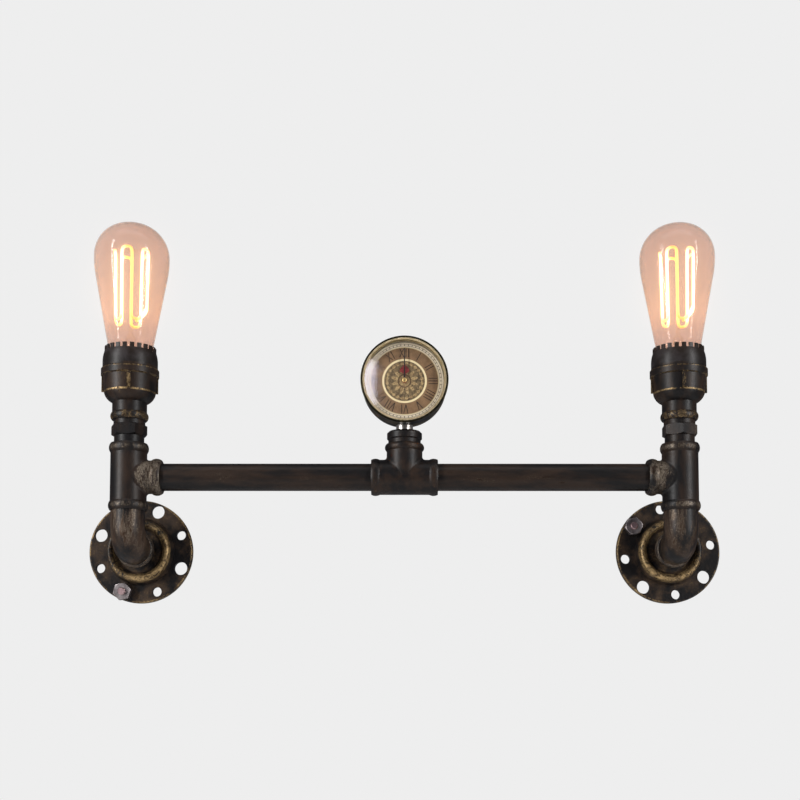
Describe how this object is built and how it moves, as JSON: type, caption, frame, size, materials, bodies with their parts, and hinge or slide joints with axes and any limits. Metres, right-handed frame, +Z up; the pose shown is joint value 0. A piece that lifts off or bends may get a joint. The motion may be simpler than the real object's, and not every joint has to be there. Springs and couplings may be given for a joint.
{
  "type": "pipe wall light",
  "caption": "Wall light of threaded pipe fittings: two upright filament lamps on flanged elbows, joined by a pipe bar that carries a round clock on a tee.",
  "frame": {"origin": "midway between the two flange centres, on the wall face of the flanges", "axes": "+X to the right along the bar, +Y into the wall, +Z up; the front faces -Y"},
  "size_m": [0.5164, 0.0812, 0.298],
  "materials": {
    "antique_bronze": "near-black antique bronze over cast fittings, rubbed to brown and gold on edges and collars",
    "zinc_steel": "zinc-plated steel, dull",
    "pale_nickel": "pale nickel plating",
    "ceramic": "glazed white ceramic",
    "brass": "pressed brass",
    "black_moulding": "black moulded plastic",
    "lead_sheath": "dark cable sheath",
    "solder": "solder",
    "black_glass": "black vitreous insulator",
    "amber_glass": "clear amber-pink glass",
    "clear_glass": "clear glass",
    "filament_wire": "glowing filament wire",
    "dark_case": "dark bronze case with a rubbed gold edge",
    "lens_glass": "clear flat lens",
    "black_rubber": "black rubber",
    "dial_print": null,
    "maroon_hand": "dark maroon paint",
    "black_hand": "black paint"
  },
  "bodies": {
    "fixture": {"left_flange": "antique_bronze", "left_wall_nipple": "antique_bronze", "left_elbow": "antique_bronze", "left_end_tee": "antique_bronze", "left_bar_pipe": "antique_bronze", "left_hex_nipple": "antique_bronze", "left_lamp_cup": "antique_bronze", "left_holder_tube": "zinc_steel", "left_holder_core": "ceramic", "left_screw_shell": "brass", "left_centre_contact": "brass", "left_holder_ring": "black_moulding", "left_lead": "lead_sheath", "right_flange": "antique_bronze", "right_wall_nipple": "antique_bronze", "right_elbow": "antique_bronze", "right_end_tee": "antique_bronze", "right_bar_pipe": "antique_bronze", "right_hex_nipple": "antique_bronze", "right_lamp_cup": "antique_bronze", "right_holder_tube": "zinc_steel", "right_holder_core": "ceramic", "right_screw_shell": "brass", "right_centre_contact": "brass", "right_holder_ring": "black_moulding", "right_lead": "lead_sheath", "flange_bolts": "zinc_steel", "flange_nuts": "zinc_steel", "holder_locknuts": "zinc_steel", "terminal_screws": "brass", "centre_tee": "antique_bronze", "gauge_bush": "antique_bronze", "gauge_stem": "pale_nickel", "stem_nut": "zinc_steel", "clock_case": "dark_case"},
    "left_lamp": {"left_bulb_tip": "solder", "left_bulb_insulator": "black_glass", "left_bulb_cap": "brass", "left_bulb_glass": "amber_glass", "left_bulb_stem": "clear_glass", "left_filament": "filament_wire"},
    "right_lamp": {"right_bulb_tip": "solder", "right_bulb_insulator": "black_glass", "right_bulb_cap": "brass", "right_bulb_glass": "amber_glass", "right_bulb_stem": "clear_glass", "right_filament": "filament_wire"},
    "clock_insert": {"clock_bezel": "dark_case", "clock_lens": "lens_glass", "clock_can": "zinc_steel", "clock_gasket": "black_rubber", "clock_dial": "dial_print", "clock_movement": "black_moulding", "clock_cell": "zinc_steel"},
    "minute_train": {"minute_arbor": "zinc_steel", "minute_hand": "black_hand", "hand_nut": "zinc_steel"},
    "hour_train": {"hour_pipe": "brass", "hour_hand": "maroon_hand"},
    "knob": {"setting_knob": "black_moulding"}
  },
  "joints": [
    {"name": "left_lamp_lift", "type": "slide", "parent": "fixture", "child": "left_lamp", "axis": [0, 0, 1], "range_m": [0, 0.036]},
    {"name": "right_lamp_lift", "type": "slide", "parent": "fixture", "child": "right_lamp", "axis": [0, 0, 1], "range_m": [0, 0.036]},
    {"name": "insert_pull", "type": "slide", "parent": "fixture", "child": "clock_insert", "axis": [0, -1, 0], "range_m": [0, 0.012]},
    {"name": "minute_turn", "type": "hinge", "parent": "clock_insert", "child": "minute_train", "pos_m": [0, -0.0665, 0.1269], "axis": [0, 1, 0], "continuous": true},
    {"name": "hour_turn", "type": "hinge", "parent": "clock_insert", "child": "hour_train", "pos_m": [0, -0.0655, 0.1269], "axis": [0, 1, 0], "continuous": true},
    {"name": "knob_turn", "type": "hinge", "parent": "clock_insert", "child": "knob", "pos_m": [0.011, -0.056, 0.1269], "axis": [0, 1, 0], "continuous": true}
  ],
  "couplings": [
    {"joint": "hour_turn", "follows": "minute_turn", "ratio": 0.083333},
    {"joint": "knob_turn", "follows": "minute_turn", "ratio": -1}
  ]
}
